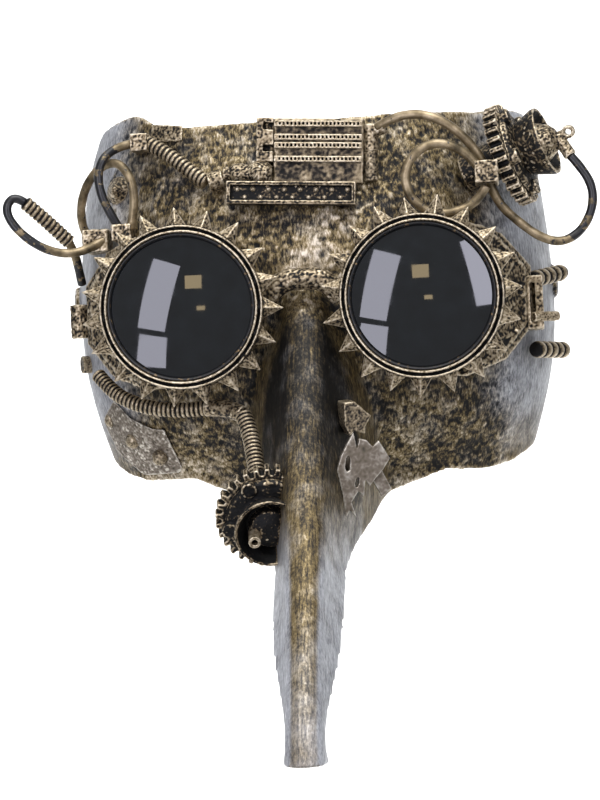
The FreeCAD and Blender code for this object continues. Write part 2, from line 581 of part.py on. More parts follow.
save("brow_plate", brow_plate.cut(tubes["brow_hose"]))
gem = Part.makeCone(6.5, 0.6, 7.5, Vector(-66.0, -48.5, 44.0), Vector(-0.35, -0.92, 0.1))
save("brow_gem", largest(gem.cut(skin)))

# A broken clock wheel on a post beside the beak, as offsets across and up from its middle.
COG_CENTRE = Vector(20.2, -102, -60.0)
COG_AXIS = Vector(0.32, -0.94, -0.10)
COG_THICK = 1.6
FRONT_COG = [(-8.8, 12.2), (-5.7, 6.7), (-6.0, 10.7), (-3.7, 10.9), (-0.6, 9.3), (0.7, 12.0), (6.4, 7.3),
             (5.3, 3.0), (3.8, -0.4), (2.5, -3.7), (0.2, -2.0), (1.5, -7.8), (-0.9, -6.5), (-2.1, -10.9),
             (1.5, -15.7), (-1.8, -13.6), (-2.2, -16.0), (-4.3, -14.8), (-5.9, -9.4), (-10.4, -2.4),
             (-10.5, 2.8), (-10.0, 6.2)]
COG_SLOTS = [[(-8.6, 3.2), (-7.9, 4.0), (-7.0, 3.0), (-6.0, -0.6), (-6.8, -1.5), (-7.9, -0.4)],
             [(-2.9, -2.4), (-2.1, -2.0), (-1.5, -3.8), (-1.6, -5.4), (-2.2, -5.8), (-2.9, -4.4)]]
REAR_COG = [(4.4, 3.5), (10.8, -2.6), (8.4, -6.2), (3.2, -1.5), (0.5, 0.5)]
UPPER_COG = [(-13.5, 20.8), (-10.1, 22.3), (-5.1, 20.1), (-2.9, 19.3), (-3.8, 15.3), (-3.0, 12.8),
             (-5.1, 12.7), (-7.1, 12.8), (-8.1, 10.6), (-11.0, 13.7)]


def cog_plate(outline, behind, thickness):
    """A flat cut-out whose plane leans between beak and cheek."""
    points = [Vector(x, z, -behind) for x, z in outline]
    plate = Part.Face(Part.makePolygon(points + points[:1])).extrude(Vector(0, 0, -thickness))
    return at_axis(plate, COG_CENTRE, COG_AXIS)


front_cog = cog_plate(FRONT_COG, 0, COG_THICK)
for slot in COG_SLOTS:
    front_cog = front_cog.cut(cog_plate(slot, -1, 4))
post_start = COG_CENTRE - COG_AXIS * COG_THICK + Vector(-1.9, -0.8, 2.2)
cog_post = largest(drum(3.5, 28, post_start, COG_AXIS * -1).cut(skin))
save("front_cog", largest(front_cog.cut(skin).cut(cog_post)))
rear_cog = largest(cog_plate(REAR_COG, COG_THICK, COG_THICK).cut(skin))
save("rear_cog", rear_cog)
save("upper_cog", largest(cog_plate(UPPER_COG, 5, 9).cut(skin)))
save("cog_post", largest(cog_post.cut(rear_cog)))
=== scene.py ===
import math
import random

import bmesh
import bpy
from mathutils import Matrix, Vector, noise
from mathutils.bvhtree import BVHTree


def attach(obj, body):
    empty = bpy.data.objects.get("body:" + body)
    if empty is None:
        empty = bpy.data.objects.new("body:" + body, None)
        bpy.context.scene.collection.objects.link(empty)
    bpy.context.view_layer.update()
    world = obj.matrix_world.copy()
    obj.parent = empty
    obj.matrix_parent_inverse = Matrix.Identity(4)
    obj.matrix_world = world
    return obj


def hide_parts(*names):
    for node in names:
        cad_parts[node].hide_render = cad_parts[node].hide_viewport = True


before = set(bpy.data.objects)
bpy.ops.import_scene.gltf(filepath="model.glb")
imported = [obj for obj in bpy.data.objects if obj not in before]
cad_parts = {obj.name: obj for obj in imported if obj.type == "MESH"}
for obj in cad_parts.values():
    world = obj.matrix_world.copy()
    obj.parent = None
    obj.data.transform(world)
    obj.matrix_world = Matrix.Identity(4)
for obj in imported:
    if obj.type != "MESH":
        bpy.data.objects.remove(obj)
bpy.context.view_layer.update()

scene = bpy.context.scene
rng = random.Random(7)
MM = 0.001

# A steampunk plague doctor mask: a black moulded half mask, dry-brushed by hand in old gold,
# bronze and pewter, with resin castings and painted vinyl tubes glued to it.

# ---- sizes shared with the CAD part, in millimetres ---------------------------------
EYE_X = 41.6
BEZEL_BACK_Y = -90.0
LENS_R = 24.5
SPIKE_TIP_R = 36.0
TUBE_R = 1.6
HOSE_R = 2.7
SHIELD_OUTLINE = [(0, 27), (14, 26), (28, 21.5), (38, 10), (38, -10.5), (28, -22.5), (14, -28), (0, -27)]

TEMPLE_INNER = [(-58.8, -62.5, 60.4), (-64.5, -67, 59.2), (-69.6, -72.5, 54.8), (-71.6, -73.5, 48.6),
                (-70.6, -74, 41.8), (-67.9, -73, 35.2), (-64.9, -71, 29.6)]
TEMPLE_OUTER = [(-61.0, -71, 29.4), (-59.4, -72, 35.4), (-58.9, -73, 42.2), (-60.6, -73, 48.8),
                (-64.6, -71, 53.2), (-70.2, -67, 52.8), (-75.6, -63.5, 48.6), (-79.4, -58.5, 42.6),
                (-81.0, -54, 36.0), (-80.3, -50.5, 29.8), (-77.6, -48, 25.4)]
SIDE_LOOP = [(-71.0, -63, 26.8), (-76.6, -65, 23.4), (-83.8, -67, 21.6), (-91.2, -69, 23.2),
             (-97.6, -70.5, 27.2), (-102.4, -71.5, 32.2), (-104.8, -72, 36.8), (-104.4, -71.8, 40.6),
             (-101.6, -71.2, 42.8), (-98.4, -70.3, 40.6)]
SIDE_HOSE = [(-98.4, -70.3, 40.6), (-94.2, -68, 36.6), (-89.2, -64.5, 31.4), (-84.8, -61, 26.6)]
SIDE_TAIL = [(-84.8, -61, 26.6), (-82.9, -58.5, 21.8), (-82.3, -55.5, 16.6), (-81.8, -52.5, 11.4)]
BROW_HOSE = [(-55.2, -61.5, 60.4), (-51.0, -64, 58.2), (-44.6, -67, 53.6), (-38.6, -70, 48.4),
             (-33.4, -72.3, 44.6)]
LONG_TUBE = [(27.8, -72.6, 60.6), (33.0, -75, 63.2), (39.6, -77, 64.4), (46.4, -78, 63.4),
             (53.0, -78, 60.0), (58.6, -77, 55.0), (62.8, -75.5, 49.6), (65.8, -74, 43.4),
             (67.2, -73, 36.6), (70.6, -72.3, 30.2), (76.6, -71.6, 24.6), (83.2, -71, 19.4),
             (90.4, -70.5, 17.0), (97.2, -70, 20.2), (101.6, -70, 27.0), (102.7, -70, 34.6),
             (100.0, -70, 41.6), (95.2, -70, 47.4)]
RING_TUBE = [(65.0, -79.5, 40.6), (62.0, -80, 46.0), (56.8, -80.5, 50.8), (50.2, -81, 53.6),
             (43.4, -81, 52.2), (38.6, -81, 47.4), (36.9, -81, 41.0), (38.9, -80.5, 34.6),
             (44.0, -80, 30.0), (51.0, -79.5, 28.6), (58.0, -79, 30.2), (62.8, -78.5, 33.6),
             (65.2, -78.5, 37.6)]
UNDER_EYE = [(-76.5, -60, -21.5), (-71.4, -65, -27.4), (-64.8, -69.5, -31.6), (-57.2, -72.5, -34.2),
             (-49.4, -74.5, -35.4), (-41.8, -76, -35.6), (-36.2, -77, -35.2)]
ELBOW = [(-36.2, -77, -35.2), (-31.8, -79, -35.4), (-27.0, -81.5, -36.2), (-22.8, -84.4, -38.0)]
DROP_HOSE = [(-22.8, -84.4, -38.0), (-20.6, -88.0, -43.2), (-19.2, -92.4, -49.6),
             (-18.0, -97.0, -56.0), (-17.0, -101.6, -62.4)]
UPPER_STUB = [(80.5, -48, 5.6), (86, -37.5, 7.0), (91.4, -27, 8.4)]
LOWER_STUB = [(80.0, -49, -19.6), (85.5, -37.5, -19.8), (91.0, -26, -20.0)]


# ---- small tools --------------------------------------------------------------------
def linear(text):
    """An sRGB hex colour as linear values."""
    values = [int(text[i:i + 2], 16) / 255 for i in (0, 2, 4)]
    return (*(v / 12.92 if v <= 0.04045 else ((v + 0.055) / 1.055) ** 2.4 for v in values), 1.0)


def ease(value, low, high):
    """0 below low, 1 above high, smooth between."""
    share = min(1.0, max(0.0, (value - low) / (high - low)))
    return share * share * (3 - 2 * share)


def new_object(name, shape):
    """A new object from a bmesh, which is used up."""
    mesh = bpy.data.meshes.new(name)
    shape.to_mesh(mesh)
    shape.free()
    piece = bpy.data.objects.new(name, mesh)
    scene.collection.objects.link(piece)
    return piece


def settle(piece, materials, slot, *stands_for):
    """Give a piece its finishes, hang it on the mask, and hide the CAD nodes it stands for."""
    piece.data.materials.clear()
    for material in materials:
        piece.data.materials.append(material)
    piece.data.polygons.foreach_set("use_smooth", [True] * len(piece.data.polygons))
    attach(piece, "root")
    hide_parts(*stands_for)
    return piece


def from_cad(*nodes):
    """The meshes of CAD nodes in one bmesh."""
    shape = bmesh.new()
    for node in nodes:
        shape.from_mesh(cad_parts[node].data)
    return shape


def melt(piece, voxel_mm, rounds):
    """Melt overlapping forms into one even skin and soften its edges."""
    skin = piece.modifiers.new("skin", "REMESH")
    skin.mode = "VOXEL"
    skin.voxel_size = voxel_mm * MM
    soften = piece.modifiers.new("soften", "SMOOTH")
    soften.factor = 0.5
    soften.iterations = rounds
    bpy.context.view_layer.update()
    graph = bpy.context.evaluated_depsgraph_get()
    melted = bpy.data.meshes.new_from_object(piece.evaluated_get(graph))
    piece.modifiers.clear()
    piece.data = melted


def vertex_values(mesh, name, values):
    """Store one number on every vertex, for the paint to read."""
    mesh.attributes.new(name, "FLOAT", "POINT").data.foreach_set("value", values)


def roughen(piece, depth_mm, lump_mm, grit_mm, where=None):
    """Push the skin in and out like coarse cast resin, and keep the height for the paint."""
    heights = []
    moved = []
    for vertex in piece.data.vertices:
        place, normal = vertex.co, vertex.normal
        lumps = noise.noise(place / (lump_mm * MM))
        creases = 0.5 - 1.6 * abs(noise.noise(place / (lump_mm * 0.45 * MM) + Vector((7, 3, 1))))
        grit = noise.noise(place / (grit_mm * MM) + Vector((2, 9, 4)))
        height = 0.45 * lumps + 0.4 * creases + 0.45 * grit
        share = 1.0 if where is None else where(place, normal)
        heights.append(0.5 + 0.5 * height)
        moved.extend(place + normal * (height * share * depth_mm * MM))
    piece.data.vertices.foreach_set("co", moved)
    vertex_values(piece.data, "relief", heights)
    piece.data.update()


def smooth_run(corners, step_mm=0.45):
    """Points along the round-cornered run laid through corners given in millimetres."""
    points = [Vector(corner) * MM for corner in corners]
    run = [points[0]]
    for i in range(1, len(points) - 1):
        start = points[0] if i == 1 else (points[i - 1] + points[i]) / 2
        end = points[-1] if i == len(points) - 2 else (points[i] + points[i + 1]) / 2
        steps = max(2, round((end - start).length / (step_mm * MM)))
        for k in range(1, steps + 1):
            t = k / steps
            run.append(start * (1 - t) ** 2 + points[i] * 2 * t * (1 - t) + end * t ** 2)
    return run


def sweep(shape, run, radius_at, sides=16):
    """Skin a run with rings. radius_at gives a radius and a paint height at a distance, in mm."""
    relief = shape.verts.layers.float.get("relief") or shape.verts.layers.float.new("relief")
    along = shape.verts.layers.float.get("along") or shape.verts.layers.float.new("along")
    across = (run[1] - run[0]).orthogonal()
    distance = 0.0
    rings = []
    for i, place in enumerate(run):
        heading = (run[min(i + 1, len(run) - 1)] - run[max(i - 1, 0)]).normalized()
        across = (across - heading * across.dot(heading)).normalized()
        upward = heading.cross(across)
        distance += (place - run[i - 1]).length / MM if i else 0.0
        radius, height = radius_at(distance)
        ring = []
        for k in range(sides):
            angle = 2 * math.pi * k / sides
            offset = across * math.cos(angle) + upward * math.sin(angle)
            vertex = shape.verts.new(place + offset * (radius * MM))
            vertex[relief] = height
            vertex[along] = distance * MM
            ring.append(vertex)
        rings.append(ring)
    for a, b in zip(rings, rings[1:]):
        for k in range(sides):
            shape.faces.new((a[k], a[(k + 1) % sides], b[(k + 1) % sides], b[k]))
    shape.faces.new(rings[0][::-1])
    shape.faces.new(rings[-1])
    return distance


def turn_profile(shape, profile, centre, axis, sides=128):
    """Turn an open or closed outline of (radius, height) in mm about an axis through a point."""
    turn = axis.to_track_quat("Z", "Y").to_matrix().to_4x4()
    place = Matrix.Translation(centre * MM) @ turn
    rings = []
    for radius, height in profile:
        if radius == 0:
            rings.append([shape.verts.new(place @ Vector((0, 0, height * MM)))])
            continue
        ring = []
        for k in range(sides):
            angle = 2 * math.pi * k / sides
            ring.append(shape.verts.new(place @ Vector(
                (radius * MM * math.cos(angle), radius * MM * math.sin(angle), height * MM))))
        rings.append(ring)
    for a, b in zip(rings, rings[1:]):
        for k in range(sides):
            j = (k + 1) % sides
            corners = [a[k % len(a)], a[j % len(a)], b[j % len(b)], b[k % len(b)]]
            unique = list(dict.fromkeys(corners))
            shape.faces.new(unique)


def surface_of(*nodes):
    """A search tree over CAD nodes, to lay detail on them."""
    shape = from_cad(*nodes)
    tree = BVHTree.FromBMesh(shape)
    shape.free()
    return tree


def laid_on(tree, x, z, from_y=-0.3):
    """Where a surface is met from straight ahead at (x, z) in mm, or None."""
    place = tree.ray_cast(Vector((x * MM, from_y, z * MM)), Vector((0, 1, 0)))[0]
    return place


def raise_rib(shape, tree, corners, radius_mm, sink=0.25):
    """A half-sunk rib that follows a surface through places given as (x, z) in mm."""
    run = []
    for (x0, z0), (x1, z1) in zip(corners, corners[1:]):
        steps = max(2, round(math.hypot(x1 - x0, z1 - z0) / 0.8))
        for k in range(steps + 1):
            place = laid_on(tree, x0 + (x1 - x0) * k / steps, z0 + (z1 - z0) * k / steps)
            if place is not None and (not run or (place - run[-1]).length > 0.0002):
                run.append(place + Vector((0, sink * radius_mm * MM, 0)))
    if len(run) > 2:
        sweep(shape, run, lambda distance: (radius_mm, 0.5), 8)


def raise_bead(shape, tree, x, z, radius_mm):
    """A round-headed bead half sunk into a surface."""
    place = laid_on(tree, x, z)
    if place is not None:
        bmesh.ops.create_icosphere(shape, subdivisions=2, radius=radius_mm * MM,
                                   matrix=Matrix.Translation(place))


# ---- finishes -----------------------------------------------------------------------
def add(tree, kind, inputs=(), stops=(), **settings):
    """Add a node with its settings, colour stops and inputs. A socket given as an input is linked."""
    node = tree.nodes.new(kind)
    for name, value in settings.items():
        setattr(node, name, value)
    for key, value in dict(inputs).items():
        if isinstance(value, bpy.types.NodeSocket):
            tree.links.new(value, node.inputs[key])
        else:
            node.inputs[key].default_value = value
    for i, (position, colour) in enumerate(stops):
        elements = node.color_ramp.elements
        element = elements[i] if i < 2 else elements.new(position)
        element.position = position
        element.color = linear(colour)
    return node


def blank(name):
    """A new node material, its tree and its main shader."""
    material = bpy.data.materials.new(name)
    material.use_nodes = True
    return material, material.node_tree, material.node_tree.nodes["Principled BSDF"]


def build_up(tree, bias, terms):
    """The weighted sum that says how thick the paint lies: each term varies about one half."""
    total = bias - sum(weight for value, weight in terms) / 2
    for value, weight in terms:
        total = add(tree, "ShaderNodeMath", {0: value, 1: weight, 2: total},
                    operation="MULTIPLY_ADD").outputs[0]
    return total


def finish_paint(tree, shader, thickness, colour, grain, sheen=(0.62, 0.40), metal=0.7):
    """Metal-flake paint over matt black: colour, flake, gloss and brush grain by thickness."""
    flake = add(tree, "ShaderNodeMapRange", {"Value": thickness, "From Min": 0.42, "From Max": 0.6,
                                             "To Min": 0.0, "To Max": metal})
    gloss = add(tree, "ShaderNodeMapRange", {"Value": thickness, "From Min": 0.35, "From Max": 0.75,
                                             "To Min": sheen[0], "To Max": sheen[1]})
    bump = add(tree, "ShaderNodeBump", {"Height": grain, "Strength": 0.55, "Distance": 0.15 * MM})
    tree.links.new(colour, shader.inputs["Base Color"])
    tree.links.new(flake.outputs[0], shader.inputs["Metallic"])
    tree.links.new(gloss.outputs[0], shader.inputs["Roughness"])
    tree.links.new(bump.outputs[0], shader.inputs["Normal"])
    shader.inputs["Specular IOR Level"].default_value = 0.25


OLD_GOLD = [(0.36, "050505"), (0.97, "D3C6AE"), (0.47, "14120F"), (0.54, "4A4032"), (0.62, "7F715A"),
            (0.76, "A99A80")]
DARK_GOLD = [(0.30, "0E0D0B"), (0.95, "C8BBA2"), (0.42, "2A251E"), (0.52, "5C5244"), (0.62, "83765F"),
             (0.76, "A1937A")]
SHELL_BRONZE = [(0.30, "080706"), (0.86, "D6C8B0"), (0.38, "1B1813"), (0.46, "3A3224"), (0.54, "605339"),
                (0.62, "80704E"), (0.74, "A3957A")]
PEWTER = [(0.20, "1E1E1F"), (0.88, "E4E5E7"), (0.36, "5E5F62"), (0.50, "94969A"), (0.66, "BEC0C4")]


def cast_paint(name, colours, cover, mottle_mm=7.0, grain_mm=0.9, edge=0.7, speckle=0.4):
    """Cast resin, washed black and dry-brushed: worn gold edges and high spots over dark hollows."""
    material, tree, shader = blank(name)
    place = add(tree, "ShaderNodeTexCoord").outputs["Object"]
    mottle = add(tree, "ShaderNodeTexNoise", {"Vector": place, "Scale": 1 / (mottle_mm * MM),
                                              "Detail": 3.0}).outputs["Fac"]
    grain = add(tree, "ShaderNodeTexNoise", {"Vector": place, "Scale": 1 / (grain_mm * MM),
                                             "Detail": 4.0, "Roughness": 0.7}).outputs["Fac"]
    relief = add(tree, "ShaderNodeAttribute", attribute_name="relief").outputs["Fac"]
    ridge = add(tree, "ShaderNodeMapRange",
                {"Value": add(tree, "ShaderNodeNewGeometry").outputs["Pointiness"],
                 "From Min": 0.44, "From Max": 0.56}).outputs[0]
    thickness = build_up(tree, 0.5 + cover, [(mottle, 0.4), (grain, speckle), (relief, 0.7),
                                             (ridge, edge)])
    colour = add(tree, "ShaderNodeValToRGB", {"Fac": thickness}, colours).outputs["Color"]
    finish_paint(tree, shader, thickness, colour, grain)
    return material


BEAK_SLANT = -0.59


def stroke_noise(tree, place, slant, stretch, width_mm):
    """Streaks drawn out along an upright direction that may slant forwards by an angle."""
    drawn = add(tree, "ShaderNodeMapping",
                {"Vector": place, "Rotation": (slant, 0, 0), "Scale": (1, 1, stretch)},
                vector_type="TEXTURE").outputs["Vector"]
    return add(tree, "ShaderNodeTexNoise", {"Vector": drawn, "Scale": 1 / (width_mm * MM), "Detail": 5.0,
                                            "Roughness": 0.68}).outputs["Fac"]


def shell_paint():
    """Moulded ABS, painted black, then dragged over with bronze where it faces forwards and with
    pewter in long upright strokes where it turns to the sides."""
    material, tree, shader = blank("black ABS, dry-brushed bronze and pewter")
    place = add(tree, "ShaderNodeTexCoord").outputs["Object"]
    beak, plain, cool, darkened, relief = [
        add(tree, "ShaderNodeAttribute", attribute_name=name).outputs["Fac"]
        for name in ("beak", "plain", "cool", "darkened", "relief")]
    mottle = add(tree, "ShaderNodeTexNoise",
                 {"Vector": place, "Scale": 1 / (8 * MM), "Detail": 5.0}).outputs["Fac"]
    patches = add(tree, "ShaderNodeTexNoise",
                  {"Vector": place, "Scale": 1 / (24 * MM), "Detail": 3.0}).outputs["Fac"]
    upright = stroke_noise(tree, place, 0.0, 14, 0.9)
    slanting = stroke_noise(tree, place, BEAK_SLANT, 7, 0.8)
    flecks = stroke_noise(tree, place, 0.0, 2.8, 0.7)
    strokes = add(tree, "ShaderNodeMix", {0: beak, 2: upright, 3: slanting}).outputs[0]
    ridge = add(tree, "ShaderNodeMapRange",
                {"Value": add(tree, "ShaderNodeNewGeometry").outputs["Pointiness"],
                 "From Min": 0.46, "From Max": 0.54}).outputs[0]
    rough = build_up(tree, 0.53, [(patches, 0.6), (mottle, 0.4), (flecks, 1.2), (relief, 0.45),
                                  (ridge, 0.35)])
    brushed = build_up(tree, 0.55, [(mottle, 0.25), (strokes, 0.7), (flecks, 0.5), (ridge, 0.1)])
    thickness = add(tree, "ShaderNodeMix", {0: plain, 2: rough, 3: brushed}).outputs[0]
    # Painted shade: the paint is drawn thinner and darker on the beak's root and upper sides, and darker
    # on the cheeks.
    thickness = add(tree, "ShaderNodeMath", {0: darkened, 1: -0.16, 2: thickness},
                    operation="MULTIPLY_ADD").outputs[0]
    tint = build_up(tree, 0.0, [(mottle, 0.9), (flecks, 0.3)])
    tint = add(tree, "ShaderNodeMath", {0: tint, 1: cool}, use_clamp=True).outputs[0]
    warm = add(tree, "ShaderNodeValToRGB", {"Fac": thickness}, SHELL_BRONZE).outputs["Color"]
    cold = add(tree, "ShaderNodeValToRGB", {"Fac": thickness}, PEWTER).outputs["Color"]
    colour = add(tree, "ShaderNodeMix", {0: tint, 6: warm, 7: cold}, data_type="RGBA").outputs[2]
    fine = add(tree, "ShaderNodeMix", {0: plain, 2: flecks, 3: strokes}).outputs[0]
    finish_paint(tree, shader, thickness, colour, fine, metal=0.55)
    return material


def raw_shell():
    """Bare black ABS as it left the mould: an even low sheen with a faint spark texture."""
    material, tree, shader = blank("black ABS, moulded and unpainted")
    place = add(tree, "ShaderNodeTexCoord").outputs["Object"]
    spark = add(tree, "ShaderNodeTexNoise", {"Vector": place, "Scale": 1 / (0.5 * MM), "Detail": 2.0})
    shade = add(tree, "ShaderNodeTexNoise", {"Vector": place, "Scale": 1 / (25 * MM), "Detail": 2.0})
    colour = add(tree, "ShaderNodeValToRGB", {"Fac": shade.outputs["Fac"]},
                 [(0.3, "161617"), (0.7, "1E1E20")])
    bump = add(tree, "ShaderNodeBump", {"Height": spark.outputs["Fac"], "Strength": 0.3,
                                        "Distance": 0.05 * MM})
    tree.links.new(colour.outputs["Color"], shader.inputs["Base Color"])
    tree.links.new(bump.outputs[0], shader.inputs["Normal"])
    shader.inputs["Roughness"].default_value = 0.48
    shader.inputs["IOR"].default_value = 1.53
    return material


def chipped_vinyl(name, bare_from, bare_to):
    """Black vinyl tube under brittle gold paint: smooth satin gold, knocked off in black flakes, and
    left off in whole bands over part of its length."""
    material, tree, shader = blank(name)
    place = add(tree, "ShaderNodeTexCoord").outputs["Object"]
    flakes = add(tree, "ShaderNodeTexNoise", {"Vector": place, "Scale": 1 / (2.6 * MM), "Detail": 4.0,
                                              "Roughness": 0.65}).outputs["Fac"]
    tone = add(tree, "ShaderNodeTexNoise", {"Vector": place, "Scale": 1 / (5 * MM), "Detail": 4.0})
    along = add(tree, "ShaderNodeAttribute", attribute_name="along").outputs["Fac"]
    drawn = add(tree, "ShaderNodeMath", {0: along, 1: 1 / (6 * MM)}, operation="MULTIPLY").outputs[0]
    bands = add(tree, "ShaderNodeTexNoise", {"W": drawn, "Scale": 1.0, "Detail": 1.0},
                noise_dimensions="1D")
    far = add(tree, "ShaderNodeMapRange", {"Value": along, "From Min": bare_from * MM,
                                           "From Max": bare_to * MM}, interpolation_type="SMOOTHSTEP")
    wear = add(tree, "ShaderNodeMath", {0: bands.outputs["Fac"], 1: far.outputs[0]},
               operation="MULTIPLY").outputs[0]
    wear = add(tree, "ShaderNodeMath", {0: wear, 1: 0.55, 2: flakes},
               operation="MULTIPLY_ADD").outputs[0]
    darkened = add(tree, "ShaderNodeMapRange",
               {"Value": wear, "From Min": 0.655, "From Max": 0.675}).outputs[0]
    gold = add(tree, "ShaderNodeValToRGB", {"Fac": tone.outputs["Fac"]},
               [(0.32, "4B4230"), (0.70, "B3A285"), (0.5, "84755A")]).outputs["Color"]
    colour = add(tree, "ShaderNodeMix", {0: darkened, 6: gold, 7: linear("17171A")},
                 data_type="RGBA").outputs[2]
    metal = add(tree, "ShaderNodeMapRange", {"Value": darkened, "To Min": 0.7, "To Max": 0.0}).outputs[0]
    gloss = add(tree, "ShaderNodeMapRange", {"Value": darkened, "To Min": 0.45, "To Max": 0.32}).outputs[0]
    edge = add(tree, "ShaderNodeBump", {"Height": darkened, "Strength": 0.6, "Distance": -0.1 * MM})
    tree.links.new(colour, shader.inputs["Base Color"])
    tree.links.new(metal, shader.inputs["Metallic"])
    tree.links.new(gloss, shader.inputs["Roughness"])
    tree.links.new(edge.outputs[0], shader.inputs["Normal"])
    return material


def smoke_lens():
    """Vacuum-formed smoke polycarbonate, so dark that it hides the eye: a deep gloss with faint
    scuffs, and clear reflections of whatever stands in front of it."""
    material, tree, shader = blank("smoke polycarbonate, vacuum-formed")
    place = add(tree, "ShaderNodeTexCoord").outputs["Object"]
    scuffs = add(tree, "ShaderNodeTexNoise", {"Vector": place, "Scale": 1 / (6 * MM), "Detail": 6.0})
    haze = add(tree, "ShaderNodeMapRange", {"Value": scuffs.outputs["Fac"], "From Min": 0.35,
                                            "From Max": 0.75, "To Min": 0.02, "To Max": 0.07})
    tree.links.new(haze.outputs[0], shader.inputs["Roughness"])
    tone = add(tree, "ShaderNodeValToRGB", {"Fac": scuffs.outputs["Fac"]},
               [(0.3, "0B0D0F"), (0.7, "111417")])
    tree.links.new(tone.outputs["Color"], shader.inputs["Base Color"])
    shader.inputs["IOR"].default_value = 1.585
    return material


def rubber():
    """Moulded black rubber: matt, with a dusting of gold where the brush strayed."""
    material, tree, shader = blank("black rubber, moulded")
    place = add(tree, "ShaderNodeTexCoord").outputs["Object"]
    dust = add(tree, "ShaderNodeTexNoise", {"Vector": place, "Scale": 1 / (1.4 * MM), "Detail": 5.0})
    colour = add(tree, "ShaderNodeValToRGB", {"Fac": dust.outputs["Fac"]},
                 [(0.6, "121213"), (0.72, "8D7450")])
    bump = add(tree, "ShaderNodeBump", {"Height": dust.outputs["Fac"], "Strength": 0.3,
                                        "Distance": 0.1 * MM})
    tree.links.new(colour.outputs["Color"], shader.inputs["Base Color"])
    tree.links.new(bump.outputs[0], shader.inputs["Normal"])
    shader.inputs["Roughness"].default_value = 0.5
    return material


def rolled_emulsion():
    """Matt white emulsion on board: pale, with a faint roller texture."""
    material, tree, shader = blank("white emulsion, rolled")
    place = add(tree, "ShaderNodeTexCoord").outputs["Object"]
    roller = add(tree, "ShaderNodeTexNoise", {"Vector": place, "Scale": 1 / (8 * MM), "Detail": 3.0})
    bump = add(tree, "ShaderNodeBump", {"Height": roller.outputs["Fac"], "Strength": 0.2,
                                        "Distance": 0.2 * MM})
    shader.inputs["Base Color"].default_value = linear("F8F8F7")
    shader.inputs["Roughness"].default_value = 0.9
    tree.links.new(bump.outputs[0], shader.inputs["Normal"])
    return material


gilt = cast_paint("cast resin, dry-brushed old gold", OLD_GOLD, 0.12)
antique = cast_paint("cast resin, washed black and rubbed with gold", OLD_GOLD, 0.07, grain_mm=0.7)
worn = cast_paint("cast resin, washed black, gold on its edges", OLD_GOLD, -0.09, edge=1.1)
# Nearly all black, with gold only on edges: the casting's black wash, plus painted shade in the dish's
# hollow and beside the beak.
black_wash_and_painted_shade = cast_paint("cast resin, washed black", OLD_GOLD, -0.2, edge=1.0)
bronzed = cast_paint("cast resin, washed black and rubbed with bronze", DARK_GOLD, 0.02)
pewter = cast_paint("cast resin, dry-brushed pewter", [(0.2, "2B2722"), (0.95, "D0CABD"), (0.42, "5D5548"),
                                                       (0.6, "80766A")], 0.06, speckle=0.2)
hose_paint = cast_paint("ribbed vinyl hose, bronzed on its ribs", OLD_GOLD, -0.07, edge=0.2, speckle=0.8)
tube_paint = chipped_vinyl("vinyl tube, gold paint chipping", 0, 400)
banded_paint = chipped_vinyl("vinyl tube, gold paint worn off in bands", 78, 98)
loop_paint = chipped_vinyl("vinyl tube, gold paint worn off past its socket", 12, 30)
dark_tube_paint = chipped_vinyl("vinyl tube, gold paint mostly gone", 4, 14)
lens_gloss = smoke_lens()
gasket_rubber = rubber()


# ---- the moulded shell --------------------------------------------------------------
FACE_MIDDLE = Vector((0, -0.010, 0))


def faces_in(place, normal):
    """Whether a bit of the shell's skin looks towards the wearer."""
    outward = place - FACE_MIDDLE
    return normal.x * outward.x + normal.y * outward.y < 0


def on_beak(place):
    """0 on the face, 1 on the beak."""
    return ease(-place.y, 0.0785, 0.086) * ease(-place.z, -0.02, 0.01)


def plainness(place, normal):
    """0 on the hammered front of the face, 1 on the smooth sides, beak and hollow."""
    return 1.0 if faces_in(place, normal) else max(ease(abs(normal.x), 0.62, 0.86), on_beak(place))


def coolness(place, normal):
    """How far the dry-brushing has gone from bronze to pewter: the temples, and low down the beak."""
    side = ease(abs(normal.x), 0.5, 0.8)
    beak = on_beak(place)
    low = side * ease(-place.z, 0.066, 0.098) + 0.3 * ease(-place.z, 0.09, 0.14)
    temple = side * ease(place.z, -0.062, -0.03) * ease(abs(place.x), 0.045, 0.065)
    return temple * (1 - beak) + min(1.0, low) * beak


def beak_shade_and_cheek_darkening(place, normal):
    """Painted shade on the beak's root and upper sides, below the goggles, and darker paint on the cheeks.
    """
    side = ease(abs(normal.x), 0.5, 0.8)
    beak = on_beak(place)
    high = 1 - ease(-place.z, 0.03, 0.085)
    cheek = ease(-place.z, -0.012, 0.012) * (1 - ease(-place.z, 0.03, 0.055)) * (1 - 0.7 * side)
    return 0.35 * cheek * (1 - beak) + beak * high * (0.9 + 0.7 * side)


